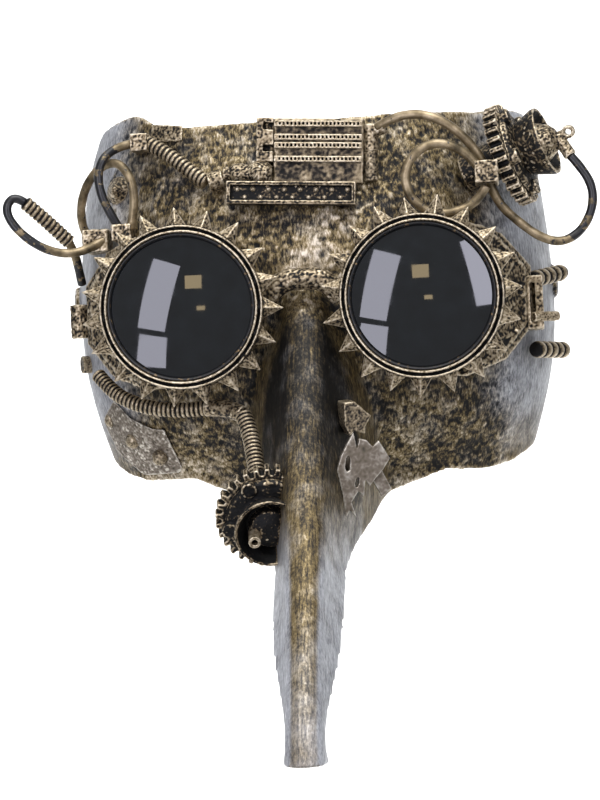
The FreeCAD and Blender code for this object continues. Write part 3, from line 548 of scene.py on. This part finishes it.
def add_face_relief(shape, skin):
    """The moulded ornament of the brow and cheeks: fans, wedges, creases and a stepped border."""
    for corners in ([(-47.5, 29), (-46.5, 36), (-42, 43), (-39.5, 36), (-41, 29)],
                    [(-41, 29), (-38.5, 36), (-37.5, 44), (-34.5, 38), (-36, 30)],
                    [(-36, 30), (-33, 35), (-31, 40), (-30, 33), (-31.5, 28)],
                    [(-44, 31), (-42.5, 37), (-42, 41)], [(-38.5, 30), (-36.8, 36), (-36.8, 41)],
                    [(-50.5, 30), (-53, 38), (-49, 47), (-44, 47)]):
        raise_rib(shape, skin, corners, 0.75)
    for x in (-22.6, -19.8):
        raise_rib(shape, skin, [(x, 64), (x - 0.6, 50)], 0.6)
    for corners in ([(26, 48), (28, 40), (33, 35)], [(24.5, 38), (27, 31), (24, 25)],
                    [(30, 44), (34.5, 45)], [(-24, 24), (-18, 20), (-12, 14)],
                    [(13, 13), (17, 20), (24, 25)], [(-17, 28), (-13, 21)],
                    [(12, 30), (15, 23)], [(-69, 36), (-72, 46), (-67, 55)], [(-60, 38), (-57.5, 46)],
                    [(-46, 58), (-42, 62), (-33, 62)], [(-33, 62), (-28, 56), (-27, 50)]):
        raise_rib(shape, skin, corners, 0.65)
    for side in (-1, 1):
        for z in range(-12, -58, -9):
            start = 12 - z * 0.12
            raise_rib(shape, skin, [(side * start, z), (side * (start + 7), z - 5),
                                    (side * (start + 16), z - 7)], 0.45)


# The junction of beak and face is smoothed below this height and inside this half width (mm).
JUNCTION_TOP = 14
JUNCTION_HALF = 34


def build_shell(outer_paint, inner_plastic):
    """The half mask: one thick sheet, its front hammered and ornamented, its beak drawn smooth."""
    skin = surface_of("mask_shell")
    shape = from_cad("mask_shell")
    add_face_relief(shape, skin)
    piece = new_object("moulded_shell", shape)
    melt(piece, 0.85, 3)
    mesh = piece.data
    smoother = piece.vertex_groups.new(name="junction")
    for vertex in mesh.vertices:
        x, y, z = vertex.co / MM
        near = z < JUNCTION_TOP and -112 < y < -50 and abs(x) < JUNCTION_HALF
        if near and (y > -88 or z < -60):
            weight = ease(JUNCTION_HALF - abs(x), 0, 6) * ease(JUNCTION_TOP - z, 0, 14)
            smoother.add([vertex.index], weight, "REPLACE")
    blend = piece.modifiers.new("blend", "SMOOTH")
    blend.factor = 0.5
    blend.iterations = 40
    blend.vertex_group = "junction"
    bpy.context.view_layer.update()
    graph = bpy.context.evaluated_depsgraph_get()
    piece.data = bpy.data.meshes.new_from_object(piece.evaluated_get(graph))
    piece.modifiers.clear()
    mesh = piece.data
    # The last zone holds painted shade on the upper beak, and the darker cheeks.
    for name, zone in (("plain", plainness), ("cool", coolness), ("darkened", beak_shade_and_cheek_darkening)):
        vertex_values(mesh, name, [zone(v.co, v.normal) for v in mesh.vertices])
    vertex_values(mesh, "beak", [on_beak(v.co) for v in mesh.vertices])
    roughen(piece, 0.75, 6.5, 1.7, lambda place, normal: 1.0 - 0.9 * plainness(place, normal))
    settle(piece, [outer_paint, inner_plastic], "brushed_shell", "mask_shell")
    inner = [int(faces_in(face.center, face.normal)) for face in mesh.polygons]
    mesh.polygons.foreach_set("material_index", inner)


# ---- goggles ------------------------------------------------------------------------
# Sections of the bezel and gasket, as (radius, distance forwards of the bezel's back) in mm.
BEZEL_SECTION = [(25.7, 0.2), (28.2, 0.2), (28.35, 6.6), (28.1, 7.5), (27.7, 7.4), (27.4, 5.2),
                 (26.8, 5.2), (26.5, 7.7), (26.0, 7.9), (25.7, 6.9), (25.7, 0.2)]
GASKET_SECTION = [(24.4, 1.0), (25.6, 1.0), (25.65, 6.2), (25.3, 7.0), (24.9, 6.9), (24.5, 6.2),
                  (24.4, 1.0)]
# The bezel's groove is made black between these radii, as far forwards as the last value (mm).
GROOVE_INNER_R = 26.5
GROOVE_OUTER_R = 27.6
GROOVE_REACH = 7.2
# The crown of pyramid spikes: count, first angle on each side (degrees), and base sizes (mm).
SPIKE_COUNT = 19
FIRST_SPIKE = {-1: -2.6, 1: 2.4}
SPIKE_FOOT_R = 26.6
SPIKE_FORWARDS = 3.6
SPIKE_HALF_WIDTH = 4.7
SPIKE_FRONT = 3.5
SPIKE_BACK = 3.1
# The lens: its edge forwards of the bezel's back, the height of its dome, and its wall (mm).
LENS_EDGE = 5.5
LENS_DOME = 4.0
LENS_WALL = 2.0
# The shield's two rows of beads, drawn in towards and out from the points of the lattice.
BEAD_INSET = 0.985
BEAD_OUTSET = 1.06


def build_goggle(side, name):
    """One goggle: a studded, cross-ribbed shield, a crown of pyramid spikes, gasket and lens."""
    centre = Vector((side * EYE_X, BEZEL_BACK_Y, 0))
    ahead = Vector((0, -1, 0))
    housing = from_cad(f"{name}_housing")
    tree = surface_of(f"{name}_housing")
    rim = [(side * (EYE_X + x * 0.93), z * 0.93) for x, z in SHIELD_OUTLINE]
    raise_rib(housing, tree, rim[1:-1], 0.9)
    lattice = []
    for i in range(13):
        angle = math.radians(-66 + 11 * i)
        reach = 29.2 if i % 2 else 36.0 - 5.5 * abs(math.sin(angle)) ** 3
        lattice.append((side * (EYE_X + reach * math.cos(angle)), reach * math.sin(angle)))
    raise_rib(housing, tree, lattice, 0.6)
    for i in range(0, 13, 2):
        x, z = lattice[i]
        outer_x = side * EYE_X + (x - side * EYE_X) * BEAD_OUTSET
        raise_bead(housing, tree, x * BEAD_INSET, z * BEAD_INSET, 1.3)
        raise_bead(housing, tree, outer_x, z * BEAD_OUTSET, 1.6)
    shield = new_object(f"{name}_shield", housing)
    melt(shield, 0.42, 2)
    roughen(shield, 0.35, 3.2, 1.1)
    settle(shield, [antique], "antique_casting", f"{name}_housing")

    crown = bmesh.new()
    turn_profile(crown, BEZEL_SECTION, centre, ahead, 144)
    turn = ahead.to_track_quat("Z", "Y").to_matrix().to_4x4()
    place = Matrix.Translation(centre * MM) @ turn
    forwards = Vector((0, 0, SPIKE_FORWARDS))
    for i in range(SPIKE_COUNT):
        angle = math.radians(FIRST_SPIKE[side] + i * 360 / SPIKE_COUNT + rng.uniform(-1.2, 1.2))
        outward = Vector((math.cos(angle), math.sin(angle), 0))
        along = Vector((-math.sin(angle), math.cos(angle), 0))
        reach = SPIKE_TIP_R - rng.uniform(0.1, 1.2)
        sway = rng.uniform(-0.4, 0.4)
        tip = outward * reach + along * sway + forwards
        base = outward * SPIKE_FOOT_R + forwards
        corners = [base + along * SPIKE_HALF_WIDTH, base + Vector((0, 0, SPIKE_FRONT)),
                   base - along * SPIKE_HALF_WIDTH, base - Vector((0, 0, SPIKE_BACK))]
        foot = [crown.verts.new(place @ (corner * MM)) for corner in corners]
        top = crown.verts.new(place @ (tip * MM))
        crown.faces.new(foot[::-1])
        for k in range(4):
            crown.faces.new((foot[k], foot[(k + 1) % 4], top))
    bezel = new_object(f"{name}_spiked_ring", crown)
    melt(bezel, 0.27, 1)
    roughen(bezel, 0.14, 2.0, 0.8)
    for vertex, relief in zip(bezel.data.vertices, bezel.data.attributes["relief"].data):
        flat = vertex.co / MM - centre
        in_groove = GROOVE_INNER_R < math.hypot(flat.x, flat.z) < GROOVE_OUTER_R
        if in_groove and flat.y > -GROOVE_REACH:
            relief.value -= 0.9
    settle(bezel, [gilt], "gilt_casting", f"{name}_bezel")

    ring = bmesh.new()
    turn_profile(ring, GASKET_SECTION, centre, ahead, 128)
    gasket = new_object(f"{name}_rubber_ring", ring)
    settle(gasket, [gasket_rubber], "black_rubber", f"{name}_gasket")

    glass = bmesh.new()
    profile = []
    for i in range(25):
        share = 1 - i / 24
        profile.append((LENS_R * share, LENS_EDGE + LENS_DOME * (1 - share ** 2)))
    profile += [(LENS_R * share, LENS_EDGE - LENS_WALL + LENS_DOME * (1 - share ** 2))
                for share in (0.25, 0.5, 0.75, 1.0)]
    turn_profile(glass, profile + profile[:1], centre, ahead, 128)
    lens = new_object(f"{name}_smoked_lens", glass)
    settle(lens, [lens_gloss], "smoke_lens", f"{name}_lens")


# ---- cast fittings ------------------------------------------------------------------
# name, CAD nodes, finish, voxel, smoothing rounds, roughness depth, lump size (mm)
CASTINGS = (
    ("nose_bridge", ["goggle_bridge"], "antique", 0.4, 3, 0.45, 2.6),
    ("brow_panel", ["brow_block"], "bronzed", 0.45, 2, 0.22, 3.0),
    ("slotted_rails", ["brow_rails"], "gilt", 0.24, 1, 0.08, 2.0),
    ("rail_end_clamp", ["rail_clamp"], "antique", 0.35, 2, 0.3, 2.4),
    ("bead_tray", ["stud_tray"], "worn", 0.26, 1, 0.08, 2.0),
    ("tray_beads", ["tray_studs"], "gilt", 0.2, 1, 0.05, 1.0),
    ("brow_pump", ["pump_body"], "antique", 0.3, 3, 0.4, 2.2),
    ("hose_socket", ["hose_coupling"], "antique", 0.3, 2, 0.25, 2.0),
    ("brow_hook_tap", ["brow_tap"], "gilt", 0.3, 3, 0.3, 2.4),
    ("brow_drain", ["brow_side_pipe"], "bronzed", 0.3, 3, 0.35, 2.2),
    ("upper_wheel", ["upper_valve_post", "upper_valve_wheel"], "worn", 0.33, 1, 0.12, 2.4),
    ("upper_flange", ["upper_valve_flange"], "worn", 0.35, 2, 0.3, 2.4),
    ("upper_bowl", ["upper_valve_cup"], "worn", 0.3, 1, 0.15, 2.6),
    ("upper_finial", ["upper_valve_dome", "upper_valve_eyelet", "upper_valve_nipple"],
     "gilt", 0.3, 1, 0.25, 1.8),
    ("lower_wheel", ["lower_valve_post", "lower_valve_wheel"], "worn", 0.33, 1, 0.12, 2.4),
    # The lower valve's flange, dish and boss carry the black wash plus painted shade in the dish and
    # beside the beak.
    ("lower_flange", ["lower_valve_flange"], "black_wash_and_painted_shade", 0.35, 2, 0.3, 2.4),
    ("lower_dish", ["lower_valve_cup"], "black_wash_and_painted_shade", 0.3, 1, 0.1, 2.6),
    ("lower_boss", ["lower_valve_boss"], "black_wash_and_painted_shade", 0.3, 2, 0.15, 1.8),
    ("lower_jet", ["lower_valve_nozzle"], "gilt", 0.24, 1, 0.06, 1.8),
    ("ring_tube_clip", ["tube_clip"], "antique", 0.33, 3, 0.4, 2.2),
    ("temple_block", ["temple_socket"], "antique", 0.33, 3, 0.4, 2.2),
    ("temple_collar", ["temple_ferrule"], "gilt", 0.33, 3, 0.3, 2.2),
    ("side_block", ["side_socket"], "gilt", 0.33, 3, 0.4, 2.4),
    ("strap_bracket", ["strap_bar"], "gilt", 0.33, 2, 0.25, 2.2),
    ("strap_peg", ["strap_prong"], "gilt", 0.25, 1, 0.12, 1.8),
    ("side_hinge", ["hinge_barrel"], "antique", 0.33, 3, 0.4, 2.4),
    ("riveted_cheek_plate", ["cheek_plate"], "pewter", 0.35, 2, 0.2, 2.6),
    ("plate_rivets", ["face_rivets"], "bronzed", 0.28, 2, 0.15, 1.8),
    ("brow_bracket", ["brow_plate"], "antique", 0.33, 2, 0.3, 2.2),
    ("pyramid_gem", ["brow_gem"], "antique", 0.33, 1, 0.25, 2.0),
    ("broken_clock_wheel", ["front_cog", "rear_cog", "cog_post"], "pewter", 0.26, 1, 0.05, 3.0),
    ("upper_clock_piece", ["upper_cog"], "bronzed", 0.3, 1, 0.2, 2.0),
)
FINISHES = {"gilt": (gilt, "gilt_casting"), "antique": (antique, "antique_casting"),
            "worn": (worn, "antique_casting"), "black_wash_and_painted_shade": (black_wash_and_painted_shade, "antique_casting"),
            "bronzed": (bronzed, "antique_casting"), "pewter": (pewter, "pewter_cog")}


def build_castings():
    """Every glued-on fitting, melted from its CAD form and given its cast skin."""
    for name, nodes, finish, voxel, rounds, depth, lump in CASTINGS:
        piece = new_object(name, from_cad(*nodes))
        melt(piece, voxel, rounds)
        roughen(piece, depth, lump, lump * 0.42)
        material, slot = FINISHES[finish]
        settle(piece, [material], slot, *nodes)


# ---- tubes and hoses ----------------------------------------------------------------
def build_tube(name, corners, radius, paint, node):
    """A smooth tube with a slightly uneven wall."""
    shape = bmesh.new()
    sweep(shape, smooth_run(corners), lambda d: (radius * (1 + 0.02 * math.sin(d * 0.9)), 0.5), 18)
    settle(new_object(name, shape), [paint], "chipped_tube", node)


def build_hose(name, corners, radius, pitch, node, depth=0.24):
    """A hose of round ribs, gold on the crests and black in the grooves."""
    def ribbed(distance):
        crest = abs(math.sin(math.pi * distance / pitch)) ** 0.7
        return radius * (1 - depth + depth * crest), 0.05 + 0.85 * crest
    shape = bmesh.new()
    sweep(shape, smooth_run(corners, 0.16), ribbed, 22)
    settle(new_object(name, shape), [hose_paint], "bronzed_hose", node)


def build_tubes():
    """Tubes, ribbed hoses and the smooth elbow, each along the same run as its CAD node."""
    build_tube("temple_black_tube", TEMPLE_INNER, TUBE_R, dark_tube_paint, "temple_inner_tube")
    build_tube("temple_gold_tube", TEMPLE_OUTER, TUBE_R, tube_paint, "temple_outer_tube")
    build_tube("side_loop", SIDE_LOOP, TUBE_R, loop_paint, "side_loop_tube")
    build_tube("side_tail", SIDE_TAIL, TUBE_R, dark_tube_paint, "side_tail_tube")
    build_tube("long_gold_tube", LONG_TUBE, TUBE_R, banded_paint, "long_tube")
    build_tube("brow_ring", RING_TUBE, TUBE_R, tube_paint, "ring_tube")
    build_hose("side_ribbed_hose", SIDE_HOSE, HOSE_R, 1.9, "side_loop_hose")
    build_hose("brow_ribbed_hose", BROW_HOSE, HOSE_R, 1.9, "brow_hose")
    build_hose("under_eye_ribbed_hose", UNDER_EYE, HOSE_R, 1.7, "under_eye_hose")
    build_hose("drop_ribbed_hose", DROP_HOSE, 3.1, 1.6, "drop_hose")
    build_hose("upper_stub", UPPER_STUB, 3.1, 4.7, "upper_stub_hose", 0.3)
    build_hose("lower_stub", LOWER_STUB, 3.1, 5.1, "lower_stub_hose", 0.3)
    shape = bmesh.new()
    sweep(shape, smooth_run(ELBOW, 0.5), lambda d: (3.0, 0.5), 24)
    elbow = new_object("smooth_elbow", shape)
    melt(elbow, 0.35, 2)
    roughen(elbow, 0.25, 2.4, 1.0)
    settle(elbow, [antique], "antique_casting", "hose_elbow")


# ---- studio -------------------------------------------------------------------------
def build_studio():
    """A pale floor that curves up into a backdrop, well below and behind the mask."""
    floor_z = -0.45
    back_y = 1.5
    bend = 0.5
    profile = [(-0.28, floor_z), (back_y - bend, floor_z)]
    for i in range(1, 12):
        angle = math.pi / 2 * i / 12
        profile.append((back_y - bend + bend * math.sin(angle),
                        floor_z + bend * (1 - math.cos(angle))))
    profile += [(back_y, floor_z + bend), (back_y, 2.4)]
    shape = bmesh.new()
    rows = [[shape.verts.new((x, y, z)) for y, z in profile] for x in (-2.5, 2.5)]
    for i in range(len(profile) - 1):
        shape.faces.new((rows[0][i], rows[1][i], rows[1][i + 1], rows[0][i + 1])).smooth = True
    floor = new_object("studio_floor", shape)
    floor.data.materials.append(rolled_emulsion())


def soft_light(name, place, target, size, watts, colour="FFFFFF", lean=0.0):
    """A rectangular soft light that faces a point, leaning over by an angle in degrees."""
    data = bpy.data.lights.new(name, "AREA")
    data.shape = "RECTANGLE"
    data.size, data.size_y = size
    data.energy = watts
    data.color = linear(colour)[:3]
    lamp = bpy.data.objects.new(name, data)
    facing = (Vector(target) - Vector(place)).to_track_quat("-Z", "Y").to_matrix().to_4x4()
    lamp.matrix_world = Matrix.Translation(place) @ facing @ Matrix.Rotation(math.radians(lean), 4, "Z")
    scene.collection.objects.link(lamp)


def light_studio():
    """Even white light, a leaning pair of panes to one side, a tall pane to the other, two small
    warm lamps behind the camera, soft lights high in front and overhead, and one for the backdrop."""
    world = bpy.data.worlds.new("white studio")
    world.use_nodes = True
    background = world.node_tree.nodes["Background"]
    background.inputs["Color"].default_value = linear("F4F5F8")
    background.inputs["Strength"].default_value = 0.38
    scene.world = world
    middle = (0, -0.08, 0)
    left_lens = (-0.04, -0.095, 0)
    right_lens = (0.042, -0.095, 0)
    pane_white = "E9E9FA"
    soft_light("left pane", (-0.255, -0.72, 0.10), left_lens, (0.19, 0.46), 1.85, pane_white, -14)
    soft_light("left lower pane", (-0.31, -0.68, -0.25), left_lens, (0.19, 0.2), 0.8, pane_white, -14)
    soft_light("right pane", (0.31, -0.53, 0.12), right_lens, (0.10, 0.34), 0.85, pane_white, 8)
    soft_light("warm lamp", (0.0, -1.55, 0.40), middle, (0.24, 0.19), 0.9, "E8CFA0")
    soft_light("warm lamp low", (0.10, -1.6, 0.02), middle, (0.12, 0.06), 0.15, "E8CFA0")
    soft_light("high front light", (0.1, -0.8, 1.0), middle, (0.8, 0.5), 9)
    soft_light("overhead", (0.0, -0.25, 1.1), middle, (1.2, 0.8), 8)
    soft_light("backdrop light", (0, 0.35, 0.0), (0, 1.5, 0.0), (1.6, 1.2), 26)
    scene.view_settings.view_transform = "Standard"


def place_camera():
    """A long lens a little to the wearer's left, level, and rolled slightly."""
    swing = math.radians(4.0)
    roll = math.radians(2.6)
    ahead = Vector((-math.sin(swing), math.cos(swing), 0))
    right = Vector((math.cos(swing), math.sin(swing), 0))
    up = Vector((0, 0, 1))
    across = right * math.cos(roll) - up * math.sin(roll)
    upward = right * math.sin(roll) + up * math.cos(roll)
    data = bpy.data.cameras.new("camera")
    data.lens = 131.2
    data.sensor_width = 36.0
    camera = bpy.data.objects.new("camera", data)
    turn = Matrix((across, upward, -ahead)).transposed()
    camera.matrix_world = Matrix.Translation((0.0681, -1.097, -0.0339)) @ turn.to_4x4()
    scene.collection.objects.link(camera)
    scene.camera = camera


build_shell(shell_paint(), raw_shell())
build_goggle(-1, "right_eye")
build_goggle(1, "left_eye")
build_castings()
build_tubes()
build_studio()
light_studio()
place_camera()
